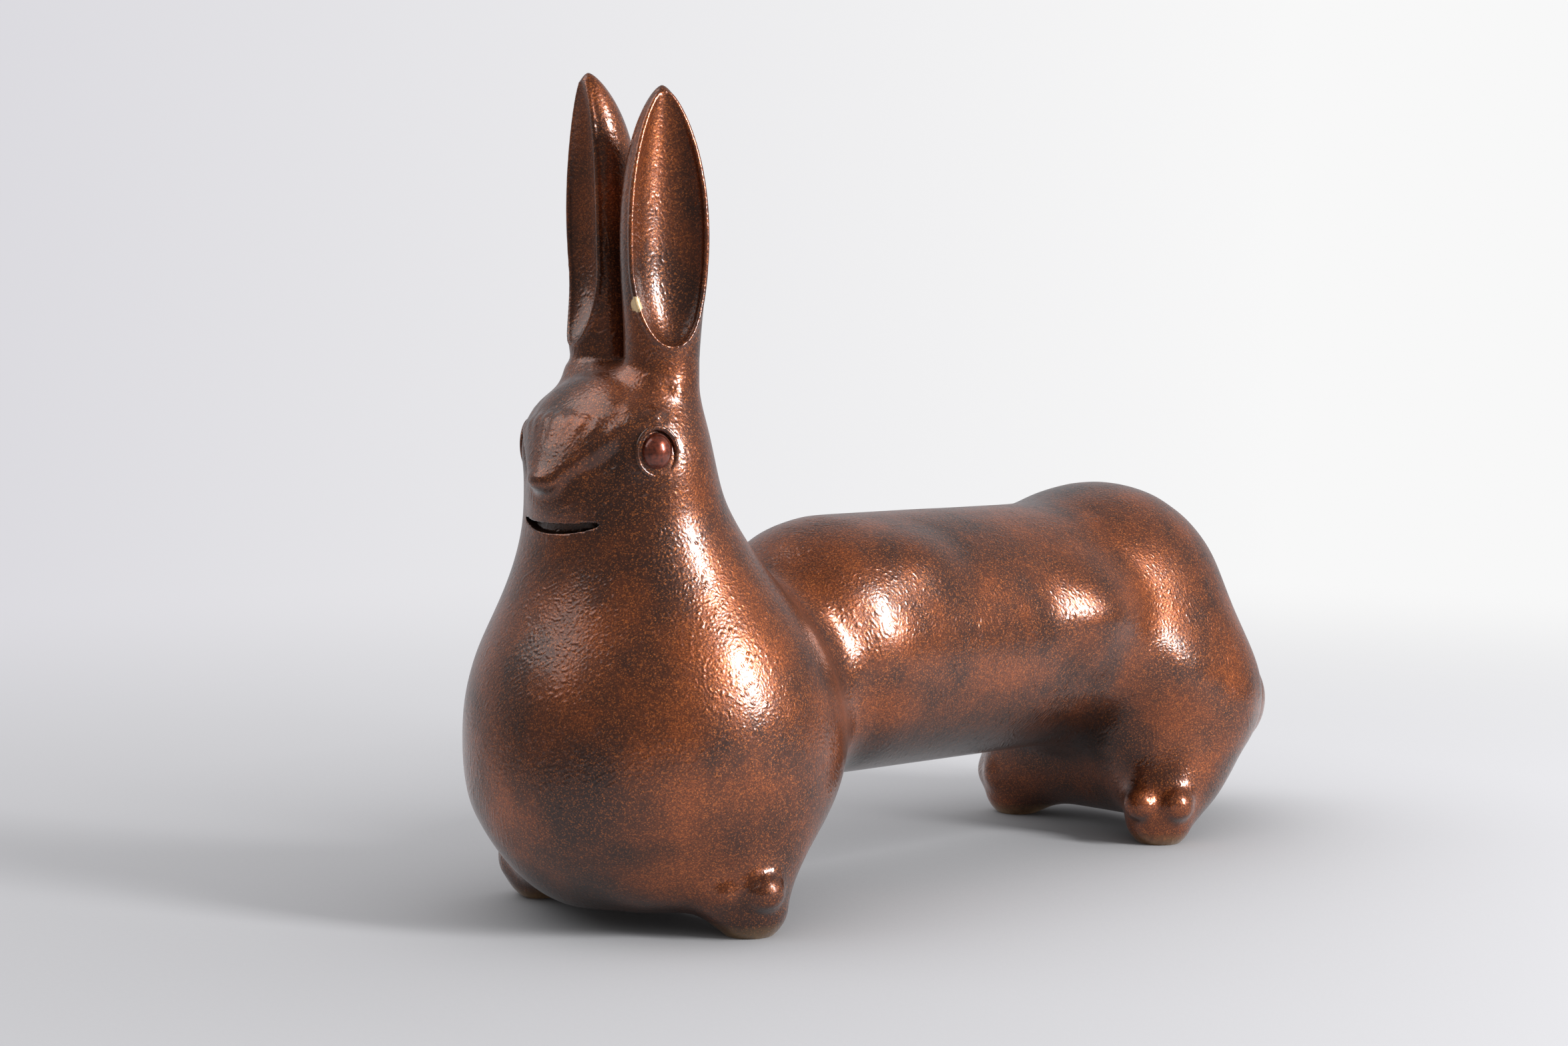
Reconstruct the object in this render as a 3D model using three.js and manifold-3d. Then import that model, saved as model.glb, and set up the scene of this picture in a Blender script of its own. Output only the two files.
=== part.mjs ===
// Plaster rabbit figurine: two hollow castings on an iron armature, with set-in ears and eyes.
// Millimetres, +Z up. The rabbit faces -Y, its left side is +X, and it stands on z = 0.
import * as THREE from 'three';
import { mergeVertices } from 'three/addons/utils/BufferGeometryUtils.js';
import Module from 'manifold-3d';

const wasm = await Module();
wasm.setup();

// Driving dimensions: chest and neck
const CHEST_WIDTH = 118;
const CHEST_DEPTH = 118;
const CHEST_HEIGHT = 94;
const CHEST_LIFT = 6;              // floor to the underside of the chest
const BRISKET_WIDTH = 108;
const BRISKET_DEPTH = 108;
const BRISKET_HEIGHT = 66;
const BRISKET_FORWARD = 5;         // ahead of the middle of the chest
const BRISKET_DROP = 12;           // below the middle of the chest
const NECK_BASE_RADIUS = 43;
const NECK_BASE_RISE = 25;         // above the middle of the chest
const NECK_BASE_FORWARD = 5;
const NECK_TOP_RADIUS = 24.5;
const NECK_TOP_DROP = 9;           // below the middle of the head
const NECK_FLARE = 1.18;           // width of the neck over its depth

// Driving dimensions: head and face
const HEAD_WIDTH = 64;
const HEAD_DEPTH = 44;
const HEAD_HEIGHT = 56;
const HEAD_RISE = 90;              // middle of the head above the middle of the chest
const HEAD_FORWARD = 15.5;         // middle of the head ahead of the middle of the chest
const MUZZLE_WIDTH = 27;
const MUZZLE_DEPTH = 26;
const MUZZLE_HEIGHT = 24;
const MUZZLE_FORWARD = 16;         // middle of the muzzle ahead of the middle of the head
const MUZZLE_DROP = 11;
const MOUTH_WIDTH = 25;
const MOUTH_DROP = 8.5;            // below the middle of the muzzle
const MOUTH_OPENING = 3.2;
const NOSE_RADIUS = 4;
const NOSE_FORWARD = 6;            // ahead of the middle of the muzzle
const NOSE_RISE = 5;
const BROW_RADIUS = 5;
const BROW_SPACING = 39;
const BROW_FORWARD = 11;           // ahead of the middle of the head
const BROW_RISE = 12;
const EYE_RADIUS = 6.6;
const EYE_FORWARD_ANGLE = 25;      // degrees ahead of straight sideways
const EYE_RISE = 3;                // above the middle of the head
const EYE_SINK = 2.4;              // middle of the eye below the head's surface
const LID_RADIUS = 9.4;
const LID_SETBACK = 5;             // middle of the lid's swelling inside the middle of the eye

// Driving dimensions: ears
const EAR_SPACING = 28;
const EAR_SETBACK = 5;             // behind the middle of the head
const EAR_LENGTH = 81.5;
const RIGHT_EAR_EXTRA = 4;         // the right ear stands a little taller
const EAR_WIDTH = 27.5;
const EAR_TAPER_LENGTH = 46;       // the part below the tip that narrows
const EAR_TAPER_POWER = 0.7;       // below 1 the tip is fuller
const EAR_BOW = 3;                 // how far the middle of the ear bows outward
const EAR_BOW_FORWARD = 1.5;
const EAR_ROOT_RADIUS = 11.5;
const EAR_ROOT_LENGTH = 19;        // below the joint plane
const EAR_JOINT_RISE = 1;          // joint plane above the top of the head
const LEFT_EAR_TURN = 60;          // degrees that the hollow side turns outward from straight ahead
const RIGHT_EAR_TURN = 28;
const EAR_TENON_RADIUS = 6;
const EAR_TENON_LENGTH = 17;
const SCOOP_WIDTH = 27;
const SCOOP_DEPTH = 26;
const SCOOP_OFFSET = 9.5;          // middle of the scoop ahead of the ear's axis
const SCOOP_START = 4;             // above the joint plane
const SCOOP_OVERRUN = 3;           // past the ear's tip

// Driving dimensions: barrel, haunches and tail
const BARREL_RADIUS = 42.5;
const BARREL_RISE = 24.5;          // axis above the middle of the chest
const BARREL_START = 74;           // middle of the round front end, behind the middle of the chest
const BARREL_SAG = 2;              // rear end of the barrel below its front end
const BARREL_END = 26;             // middle of the round rear end, ahead of the middle of the haunches
const BODY_LENGTH = 214;           // middle of the chest to middle of the haunches
const HAUNCH_WIDTH = 96;
const HAUNCH_LENGTH = 76;
const HAUNCH_HEIGHT = 96;
const HAUNCH_DROP = 2.5;           // middle of the haunches below the barrel's axis
const TAIL_WIDTH = 66;
const TAIL_LENGTH = 56;
const TAIL_HEIGHT = 50;
const TAIL_BACK = 45;              // middle of the tail behind the middle of the haunches
const TAIL_DROP = 33;              // and below it
const SEAT_RADIUS = 20;            // the roll that closes the space between the hind legs
const SEAT_LIFT = 4.5;             // floor to the underside of the seat
const SEAT_BACK = 4;               // middle of the seat behind the middle of the haunches

// Driving dimensions: legs and paws
const FORE_PAW_INSET = 14.5;       // middle of the paw in from the side of the chest
const FORE_PAW_FORWARD = 6.5;      // ahead of the middle of the chest
const FORE_PAW_STAGGER = 3.5;      // the right paw stands ahead by this, the left paw behind
const FORE_LEG_RADIUS = 21;
const FORE_LEG_INSET = 11;         // top of the leg inside the paw
const FORE_LEG_BACK = 3;           // behind the middle of the chest
const FORE_LEG_DROP = 12;          // top of the leg below the middle of the chest
const HIND_PAW_INSET = 11;         // middle of the paw in from the side of the haunches
const HIND_PAW_FORWARD = 8.5;      // ahead of the middle of the haunches
const HIND_PAW_STAGGER = 4.5;      // the left paw stands ahead by this, the right paw behind
const HIND_LEG_RADIUS = 27;
const HIND_LEG_INSET = 7;
const HIND_LEG_BACK = 10;          // behind the middle of the haunches
const HIND_LEG_DROP = 27;
const PAW_RADIUS = 12;
const SOLE_CUT = 2.5;              // what the flat sole takes off the round paw
const TOE_RADIUS = 6.2;
const TOE_SPACING = 11.5;
const TOE_FORWARD = 8.5;
const TOE_RISE = 5.5;
const TOE_TURN = 35;               // degrees that the paws turn outward from straight ahead

// Driving dimensions: how widely each form melts into the ones before it
const CHEST_BLEND = 1;
const BRISKET_BLEND = 8;
const NECK_BLEND = 26;
const HEAD_BLEND = 12;
const MUZZLE_BLEND = 8;
const BROW_BLEND = 7;
const LID_BLEND = 3;
const EAR_BLEND = 6;
const BARREL_BLEND = 14;
const HAUNCH_BLEND = 20;
const HIND_LEG_BLEND = 20;
const TAIL_BLEND = 16;
const SEAT_BLEND = 10;
const FORE_LEG_BLEND = 14;
const TOE_BLEND = 4;

// Driving dimensions: shells, joint and armature
const WALL = 9;
const JOINT_BACK = 62;             // joint plane behind the middle of the chest
const SPIGOT_RADIUS = 32;
const SPIGOT_WALL = 6;
const SPIGOT_LENGTH = 12;
const SOCKET_LEDGE = 2;            // step that the spigot's end meets
const SPINE_RADIUS = 4;
const NECK_BORE_RADIUS = 13;
const NECK_BORE_DROP = 30;         // top of the bore below the middle of the head
const NECK_BAR_RADIUS = 3.5;
const NECK_BAR_BACK = 6;           // behind the middle of the head
const NECK_BAR_BITE = 18;
const HOOP_RADIUS = 3;
const HOOP_KNEE_INSET = 9;         // where the hoop turns inward, inside the paw
const HOOP_KNEE_DROP = 25;         // below the top of the hoop
const EAR_WIRE_RADIUS = 1.25;
const EAR_WIRE_SETBACK = 3;
const EAR_WIRE_RISE = 8;           // above the joint plane
const IRON_BITE = 6;               // how far an iron's end goes into the plaster
const WAD_RADIUS = 17;
const FIT = 0.3;                   // clearance between pieces that touch

// Driving dimensions: grain of the skins, and how far a form runs on before it is trimmed
const FACE_GRAIN = 4.3;
const PAW_GRAIN = 4.6;
const BODY_GRAIN = 7.4;
const TRIM = 8;

// Places worked out from the dimensions
const chest = [0, 0, CHEST_LIFT + CHEST_HEIGHT / 2];
const chestRadii = [CHEST_WIDTH / 2, CHEST_DEPTH / 2, CHEST_HEIGHT / 2];
const brisket = [0, chest[1] - BRISKET_FORWARD, chest[2] - BRISKET_DROP];
const brisketRadii = [BRISKET_WIDTH / 2, BRISKET_DEPTH / 2, BRISKET_HEIGHT / 2];
const head = [0, -HEAD_FORWARD, chest[2] + HEAD_RISE];
const headRadii = [HEAD_WIDTH / 2, HEAD_DEPTH / 2, HEAD_HEIGHT / 2];
const muzzle = [0, head[1] - MUZZLE_FORWARD, head[2] - MUZZLE_DROP];
const muzzleRadii = [MUZZLE_WIDTH / 2, MUZZLE_DEPTH / 2, MUZZLE_HEIGHT / 2];
const eyeAngle = THREE.MathUtils.degToRad(EYE_FORWARD_ANGLE);
const eye = [
  headRadii[0] * Math.cos(eyeAngle) - EYE_SINK,
  head[1] - headRadii[1] * Math.sin(eyeAngle),
  head[2] + EYE_RISE,
];
const earJoint = head[2] + headRadii[2] + EAR_JOINT_RISE;
const ear = [EAR_SPACING / 2, head[1] + EAR_SETBACK, earJoint];
const barrelLevel = chest[2] + BARREL_RISE;
const haunch = [0, BODY_LENGTH, barrelLevel - HAUNCH_DROP];
const haunchRadii = [HAUNCH_WIDTH / 2, HAUNCH_LENGTH / 2, HAUNCH_HEIGHT / 2];
const pawLevel = PAW_RADIUS - SOLE_CUT;
const sides = [1, -1];
const forePaws = sides.map(side => [
  side * (chestRadii[0] - FORE_PAW_INSET),
  chest[1] - FORE_PAW_FORWARD + side * FORE_PAW_STAGGER,
  pawLevel,
]);
const hindPaws = sides.map(side => [
  side * (haunchRadii[0] - HIND_PAW_INSET),
  haunch[1] - HIND_PAW_FORWARD - side * HIND_PAW_STAGGER,
  pawLevel,
]);

// Soft forms: each is a function that gives a point's distance outside a rounded shape
function ball(centre, radii) {
  return (x, y, z) => {
    const p = [x - centre[0], y - centre[1], z - centre[2]];
    const scaled = Math.hypot(p[0] / radii[0], p[1] / radii[1], p[2] / radii[2]);
    const slope = Math.hypot(p[0] / radii[0] ** 2, p[1] / radii[1] ** 2, p[2] / radii[2] ** 2);
    return slope === 0 ? -Math.min(...radii) : scaled * (scaled - 1) / slope;
  };
}

function taper(start, startRadius, end, endRadius) {
  const along = new THREE.Vector3().subVectors(new THREE.Vector3(...end), new THREE.Vector3(...start));
  const length = along.length();
  along.normalize();
  const slant = (startRadius - endRadius) / length;
  const lean = Math.sqrt(1 - slant * slant);
  return (x, y, z) => {
    const px = x - start[0];
    const py = y - start[1];
    const pz = z - start[2];
    const height = px * along.x + py * along.y + pz * along.z;
    const radius = Math.sqrt(Math.max(px * px + py * py + pz * pz - height * height, 0));
    const foot = height - radius * slant / lean;
    if (foot <= 0) return Math.hypot(radius, height) - startRadius;
    if (foot >= length) return Math.hypot(radius, height - length) - endRadius;
    return radius * lean + height * slant - startRadius;
  };
}

const widened = (form, share) => (x, y, z) => form(x / share, y, z);
const mirrored = form => (x, y, z) => form(Math.abs(x), y, z);

// A smooth union: each form melts into those before it over its own blend width.
function blended(forms) {
  return (x, y, z) => {
    let distance = Infinity;
    for (const [form, width] of forms) {
      const next = form(x, y, z);
      const overlap = Math.max(width - Math.abs(distance - next), 0);
      distance = Math.min(distance, next) - overlap * overlap / (4 * width);
    }
    return distance;
  };
}

const ballOf = radius => [radius, radius, radius];
const shifted = (place, x, y, z) => [place[0] + x, place[1] + y, place[2] + z];

// Forms of the rabbit, each with the width over which it melts in
function torsoForms() {
  const neckBase = [0, -NECK_BASE_FORWARD, chest[2] + NECK_BASE_RISE];
  const neckTop = shifted(head, 0, 0, -NECK_TOP_DROP);
  const neck = taper(neckBase, NECK_BASE_RADIUS, neckTop, NECK_TOP_RADIUS);
  return [
    [ball(chest, chestRadii), CHEST_BLEND],
    [ball(brisket, brisketRadii), BRISKET_BLEND],
    [widened(neck, NECK_FLARE), NECK_BLEND],
  ];
}

function headForms() {
  const nose = [NOSE_RADIUS / 2, muzzle[1] - NOSE_FORWARD, muzzle[2] + NOSE_RISE];
  const brow = [BROW_SPACING / 2, head[1] - BROW_FORWARD, head[2] + BROW_RISE];
  const lid = shifted(eye, -LID_SETBACK, 0, 0);
  const earRootFoot = shifted(ear, 0, 0, -EAR_ROOT_LENGTH);
  const earRootTop = shifted(ear, 0, 0, EAR_ROOT_RADIUS);
  return [
    [ball(head, headRadii), HEAD_BLEND],
    [ball(muzzle, muzzleRadii), MUZZLE_BLEND],
    [mirrored(taper(nose, NOSE_RADIUS, brow, BROW_RADIUS)), BROW_BLEND],
    [mirrored(ball(lid, ballOf(LID_RADIUS))), LID_BLEND],
    [mirrored(taper(earRootFoot, EAR_ROOT_RADIUS, earRootTop, EAR_ROOT_RADIUS)), EAR_BLEND],
  ];
}

function hindForms() {
  const barrelFront = [0, BARREL_START, barrelLevel];
  const barrelRear = [0, haunch[1] - BARREL_END, barrelLevel - BARREL_SAG];
  const legTop = shifted(haunch, hindPaws[0][0] - HIND_LEG_INSET, HIND_LEG_BACK, -HIND_LEG_DROP);
  const tail = shifted(haunch, 0, TAIL_BACK, -TAIL_DROP);
  const tailRadii = [TAIL_WIDTH / 2, TAIL_LENGTH / 2, TAIL_HEIGHT / 2];
  const seat = sides.map(side => [
    side * (hindPaws[0][0] - PAW_RADIUS),
    haunch[1] + SEAT_BACK,
    SEAT_LIFT + SEAT_RADIUS,
  ]);
  return [
    [taper(barrelFront, BARREL_RADIUS, barrelRear, BARREL_RADIUS), BARREL_BLEND],
    [ball(haunch, haunchRadii), HAUNCH_BLEND],
    ...legForms(legTop, HIND_LEG_RADIUS, hindPaws, HIND_LEG_BLEND),
    [ball(tail, tailRadii), TAIL_BLEND],
    [taper(seat[0], SEAT_RADIUS, seat[1], SEAT_RADIUS), SEAT_BLEND],
  ];
}

function foreForms() {
  const legTop = shifted(chest, forePaws[0][0] - FORE_LEG_INSET, FORE_LEG_BACK, -FORE_LEG_DROP);
  return legForms(legTop, FORE_LEG_RADIUS, forePaws, FORE_LEG_BLEND);
}

function legForms(top, radius, paws, blend) {
  return paws.map((paw, n) => [
    taper([sides[n] * top[0], top[1], top[2]], radius, paw, PAW_RADIUS), blend,
  ]);
}

function toeForms(paws) {
  return paws.flatMap((paw, n) => sides.map(side => {
    const turned = sides[n] * THREE.MathUtils.degToRad(TOE_TURN);
    const toe = new THREE.Vector3(side * TOE_SPACING / 2, -TOE_FORWARD, TOE_RISE)
      .applyAxisAngle(new THREE.Vector3(0, 0, 1), turned)
      .add(new THREE.Vector3(...paw));
    return [ball(toe.toArray(), ballOf(TOE_RADIUS)), TOE_BLEND];
  }));
}

const rabbit = blended([
  ...torsoForms(),
  ...headForms(),
  ...hindForms(),
  ...foreForms(),
  ...toeForms(forePaws),
  ...toeForms(hindPaws),
]);

// Skin of a form: one vertex for each patch of surface in a grid cell, joined across the cells
const CORNERS = [0, 1, 2, 3, 4, 5, 6, 7].map(c => [c & 1, (c >> 1) & 1, (c >> 2) & 1]);
const EDGES = [];
for (const axis of [1, 2, 4]) {
  for (let corner = 0; corner < 8; corner++) {
    if (!(corner & axis)) EDGES.push([corner, corner | axis]);
  }
}
const FACES = [1, 2, 4].flatMap(axis => [0, axis].map(side => (
  EDGES.map((edge, n) => n).filter(n => EDGES[n].every(corner => (corner & axis) === side))
)));

// The crossed edges of one cell, sorted into the patches of surface that they belong to.
function patches(values) {
  const inside = values.map(v => v < 0);
  const crossed = EDGES.map(([a, b]) => inside[a] !== inside[b]);
  const leader = EDGES.map((edge, n) => n);
  const find = n => (leader[n] === n ? n : find(leader[n]));
  const join = (a, b) => {
    leader[find(a)] = find(b);
  };
  for (const face of FACES) {
    const cut = face.filter(n => crossed[n]);
    for (const a of cut) {
      for (const b of cut) {
        const shared = EDGES[a].find(corner => EDGES[b].includes(corner));
        if (cut.length === 2 || (shared !== undefined && inside[shared])) join(a, b);
      }
    }
  }
  const groups = new Map();
  EDGES.forEach((edge, n) => {
    if (crossed[n]) groups.set(find(n), [...(groups.get(find(n)) ?? []), n]);
  });
  return [...groups.values()];
}

// Moves a point onto the form's surface along the form's own slope.
function settle(form, point) {
  const step = 0.2;
  for (let round = 0; round < 3; round++) {
    const slope = [0, 1, 2].map(axis => {
      const ahead = point.map((v, n) => (n === axis ? v + step : v));
      const behind = point.map((v, n) => (n === axis ? v - step : v));
      return (form(...ahead) - form(...behind)) / (2 * step);
    });
    const steepness = slope.reduce((sum, s) => sum + s * s, 0);
    const share = steepness > 0.05 ? form(...point) / steepness : 0;
    point = point.map((v, n) => v - share * slope[n]);
  }
  return point;
}

function skin(form, lines) {
  const [nx, ny, nz] = lines.map(line => line.length);
  const index = cell => cell[0] + nx * (cell[1] + ny * cell[2]);
  const place = cell => cell.map((n, axis) => lines[axis][n]);
  const offset = (cell, corner) => cell.map((n, axis) => n + CORNERS[corner][axis]);
  const cells = [];
  for (let k = 0; k < nz; k++) {
    for (let j = 0; j < ny; j++) {
      for (let i = 0; i < nx; i++) cells.push([i, j, k]);
    }
  }
  const values = cells.map(cell => form(...place(cell)));
  const positions = [];
  const vertexOf = new Map();
  for (const cell of cells) {
    if (cell[0] > nx - 2 || cell[1] > ny - 2 || cell[2] > nz - 2) continue;
    const corners = CORNERS.map((c, n) => values[index(offset(cell, n))]);
    if (corners.every(v => v < 0) || corners.every(v => v >= 0)) continue;
    for (const patch of patches(corners)) {
      const middle = new THREE.Vector3();
      for (const n of patch) {
        const [a, b] = EDGES[n];
        const start = new THREE.Vector3(...place(offset(cell, a)));
        const end = new THREE.Vector3(...place(offset(cell, b)));
        middle.addScaledVector(start.lerp(end, corners[a] / (corners[a] - corners[b])), 1 / patch.length);
      }
      for (const n of patch) vertexOf.set(index(cell) * EDGES.length + n, positions.length / 3);
      positions.push(...settle(form, middle.toArray()));
    }
  }
  const triangles = [];
  for (const cell of cells) {
    for (let axis = 0; axis < 3; axis++) {
      const next = cell.map((n, a) => n + (a === axis ? 1 : 0));
      if (next[axis] >= lines[axis].length) continue;
      const startInside = values[index(cell)] < 0;
      if (startInside === values[index(next)] < 0) continue;
      const u = (axis + 1) % 3;
      const w = (axis + 2) % 3;
      const ring = [[0, 0], [1, 0], [1, 1], [0, 1]].map(([du, dw]) => {
        const around = [...cell];
        around[u] -= du;
        around[w] -= dw;
        const corner = (du << u) | (dw << w);
        const edge = EDGES.findIndex(([a, b]) => a === corner && b === (corner | (1 << axis)));
        return vertexOf.get(index(around) * EDGES.length + edge);
      });
      if (!startInside) ring.reverse();
      triangles.push(ring[0], ring[1], ring[2], ring[0], ring[2], ring[3]);
    }
  }
  const geometry = new THREE.BufferGeometry();
  geometry.setAttribute('position', new THREE.Float32BufferAttribute(positions, 3));
  geometry.setIndex(triangles);
  return geometry;
}

// Grid lines from stretches such as [from, step], closed by the last place.
function gridLines(stretches, end) {
  return stretches.flatMap(([from, step], n) => {
    const to = n + 1 < stretches.length ? stretches[n + 1][0] : end;
    const count = Math.max(Math.round((to - from) / step), 1);
    return Array.from({ length: count }, (unused, i) => from + (to - from) * i / count);
  }).concat(end);
}

// Solids from three.js geometry, joined and cut, and back again
function closedSolid(geometry) {
  return new wasm.Manifold(new wasm.Mesh({
    numProp: 3,
    vertProperties: new Float32Array(geometry.getAttribute('position').array),
    triVerts: new Uint32Array(geometry.getIndex().array),
  }));
}

function solid(geometry) {
  const bare = new THREE.BufferGeometry();
  bare.setAttribute('position', geometry.getAttribute('position'));
  bare.setIndex(geometry.getIndex());
  const merged = mergeVertices(bare, 1e-4);
  const index = merged.getIndex().array;
  const triVerts = [];
  for (let n = 0; n < index.length; n += 3) {
    const [a, b, c] = index.slice(n, n + 3);
    if (a !== b && b !== c && c !== a) triVerts.push(a, b, c);
  }
  return closedSolid(merged.setIndex(triVerts));
}

function geometryOf(manifold) {
  const mesh = manifold.getMesh();
  const geometry = new THREE.BufferGeometry();
  geometry.setAttribute('position', new THREE.Float32BufferAttribute(mesh.vertProperties, 3));
  geometry.setIndex([...mesh.triVerts]);
  geometry.computeVertexNormals();
  return geometry;
}

function egg(centre, radii, sides = 28) {
  const geometry = new THREE.SphereGeometry(1, sides, Math.round(sides * 0.6));
  return solid(geometry.scale(...radii).translate(...centre));
}

function bar(start, end, radius, sides = 12) {
  const from = new THREE.Vector3(...start);
  const along = new THREE.Vector3(...end).sub(from);
  const geometry = new THREE.CylinderGeometry(radius, radius, along.length(), sides);
  geometry.translate(0, along.length() / 2, 0);
  geometry.applyQuaternion(new THREE.Quaternion().setFromUnitVectors(
    new THREE.Vector3(0, 1, 0), along.clone().normalize(),
  ));
  return solid(geometry.translate(...start));
}

function rod(points, radius) {
  const section = new THREE.Shape().absarc(0, 0, radius, 0, 2 * Math.PI);
  const extrudePath = new THREE.CatmullRomCurve3(points.map(p => new THREE.Vector3(...p)));
  const options = { extrudePath, steps: 20, curveSegments: 5, bevelEnabled: false };
  return solid(new THREE.ExtrudeGeometry(section, options));
}

function block(low, high) {
  const size = low.map((v, n) => high[n] - v);
  const middle = low.map((v, n) => (v + high[n]) / 2);
  return solid(new THREE.BoxGeometry(...size).translate(...middle));
}

// Irons of the armature, each at its own size or with room around it as the bore that it needs
function innerReach(middle, radii) {
  const share = (barrelLevel - middle[2]) / (radii[2] - WALL);
  return (radii[1] - WALL) * Math.sqrt(1 - share * share);
}

const chestWall = chest[1] - innerReach(chest, chestRadii);
const rumpWall = haunch[1] + innerReach(haunch, haunchRadii);
const neckBarPlace = head[1] + NECK_BAR_BACK;
const neckBoreTop = head[2] - NECK_BORE_DROP;
const hoopTop = barrelLevel - SPINE_RADIUS - HOOP_RADIUS - FIT;
const turn = side => side * THREE.MathUtils.degToRad(side > 0 ? LEFT_EAR_TURN : RIGHT_EAR_TURN);

function spineBar(room) {
  const front = [0, chestWall - IRON_BITE - room, barrelLevel];
  const rear = [0, rumpWall + IRON_BITE + room, barrelLevel];
  return bar(front, rear, SPINE_RADIUS + room);
}

function neckBar(room) {
  const foot = [0, neckBarPlace, barrelLevel + SPINE_RADIUS + FIT];
  const top = [0, neckBarPlace, neckBoreTop + NECK_BAR_BITE + room];
  return bar(foot, top, NECK_BAR_RADIUS + room);
}

function legHoop(paws, room) {
  const top = [0, (paws[0][1] + paws[1][1]) / 2, hoopTop];
  const [left, right] = paws.map((paw, n) => ({
    foot: [paw[0], paw[1], IRON_BITE - room],
    knee: [paw[0] - sides[n] * HOOP_KNEE_INSET, paw[1], hoopTop - HOOP_KNEE_DROP],
  }));
  return rod([left.foot, left.knee, top, right.knee, right.foot], HOOP_RADIUS + room);
}

function earWire(side, room) {
  const x = side * ear[0] - Math.sin(turn(side)) * EAR_WIRE_SETBACK;
  const y = ear[1] + Math.cos(turn(side)) * EAR_WIRE_SETBACK;
  const foot = earJoint - EAR_TENON_LENGTH - IRON_BITE - room;
  return bar([x, y, foot], [x, y, earJoint + EAR_WIRE_RISE + room], EAR_WIRE_RADIUS + room);
}

// Castings: an outer skin, trimmed flat, with a hollow and bores
const FAR = 3 * (BODY_LENGTH + EAR_LENGTH);
const belowFloor = block([-FAR, -FAR, -FAR], [FAR, FAR, 0]);
const hollow = (middle, radii, room) => egg(middle, radii.map(r => r - WALL - room));
const alongBarrel = (from, to, radius) => bar([0, from, barrelLevel], [0, to, barrelLevel], radius, 32);

function tenon(side, room) {
  const foot = [side * ear[0], ear[1], earJoint - EAR_TENON_LENGTH - room];
  const top = [side * ear[0], ear[1], earJoint + SCOOP_START / 2];
  return bar(foot, top, EAR_TENON_RADIUS + room);
}

function mouth() {
  const place = [0, muzzle[1] - muzzleRadii[1] / 2, muzzle[2] - MOUTH_DROP];
  return egg(place, [MOUTH_WIDTH / 2, muzzleRadii[1] / 1.5, MOUTH_OPENING / 2], 18);
}

function frontCasting() {
  const form = (x, y, z) => Math.max(rabbit(x, y, z), y - JOINT_BACK - TRIM, z - earJoint - TRIM);
  const side = Math.max(chestRadii[0], forePaws[0][0] + PAW_RADIUS) + TRIM;
  const frontEnd = Math.min(chest[1] - chestRadii[1], brisket[1] - brisketRadii[1]) - TRIM;
  const outside = closedSolid(skin(form, [
    gridLines([[-side, BODY_GRAIN], [-headRadii[0], FACE_GRAIN], [headRadii[0], BODY_GRAIN]], side),
    gridLines([[frontEnd, FACE_GRAIN], [head[1], BODY_GRAIN]], JOINT_BACK + 2 * TRIM),
    gridLines([
      [-TRIM, PAW_GRAIN],
      [2 * PAW_RADIUS, BODY_GRAIN],
      [neckBoreTop, FACE_GRAIN],
    ], earJoint + 2 * TRIM),
  ]));
  const cavity = hollow(chest, chestRadii, 0)
    .add(bar([0, neckBarPlace, chest[2]], [0, neckBarPlace, neckBoreTop], NECK_BORE_RADIUS, 18))
    .add(alongBarrel(chest[1], FAR, SPIGOT_RADIUS - SPIGOT_WALL));
  let casting = outside
    .subtract(belowFloor)
    .subtract(block([-FAR, JOINT_BACK, -FAR], [FAR, FAR, FAR]))
    .subtract(block([-FAR, -FAR, earJoint], [FAR, FAR, FAR]))
    .add(alongBarrel(JOINT_BACK - WALL, JOINT_BACK + SPIGOT_LENGTH, SPIGOT_RADIUS))
    .subtract(cavity)
    .subtract(mouth());
  for (const sign of sides) {
    casting = casting
      .subtract(egg([sign * eye[0], eye[1], eye[2]], ballOf(EYE_RADIUS + FIT), 18))
      .subtract(tenon(sign, FIT))
      .subtract(earWire(sign, FIT));
  }
  return casting.subtract(spineBar(FIT)).subtract(neckBar(FIT)).subtract(legHoop(forePaws, FIT));
}

function rearCasting() {
  const form = (x, y, z) => Math.max(rabbit(x, y, z), JOINT_BACK - TRIM - y);
  const side = Math.max(haunchRadii[0], BARREL_RADIUS, hindPaws[0][0] + HIND_LEG_RADIUS) + TRIM;
  const end = haunch[1] + TAIL_BACK + TAIL_LENGTH / 2 + TRIM;
  const top = barrelLevel + Math.max(BARREL_RADIUS, haunchRadii[2]) + TRIM;
  const outside = closedSolid(skin(form, [
    gridLines([[-side, BODY_GRAIN]], side),
    gridLines([
      [JOINT_BACK - 2 * TRIM, BODY_GRAIN],
      [hindPaws[0][1] - 2 * PAW_RADIUS, PAW_GRAIN],
      [hindPaws[1][1], BODY_GRAIN],
    ], end),
    gridLines([[-TRIM, PAW_GRAIN], [2 * PAW_RADIUS, BODY_GRAIN]], top),
  ]));
  return outside
    .subtract(belowFloor)
    .subtract(block([-FAR, -FAR, -FAR], [FAR, JOINT_BACK + FIT, FAR]))
    .subtract(alongBarrel(JOINT_BACK, JOINT_BACK + SPIGOT_LENGTH + FIT, SPIGOT_RADIUS + FIT))
    .subtract(alongBarrel(JOINT_BACK, haunch[1], SPIGOT_RADIUS - SOCKET_LEDGE))
    .subtract(hollow(haunch, haunchRadii, 0))
    .subtract(spineBar(FIT))
    .subtract(legHoop(hindPaws, FIT));
}

// A wad of hemp and plaster where the end of the spine bar meets the wall
function wad(middle, radii, wall) {
  return egg([0, wall, barrelLevel], ballOf(WAD_RADIUS), 14)
    .intersect(hollow(middle, radii, FIT))
    .subtract(spineBar(FIT));
}

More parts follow.
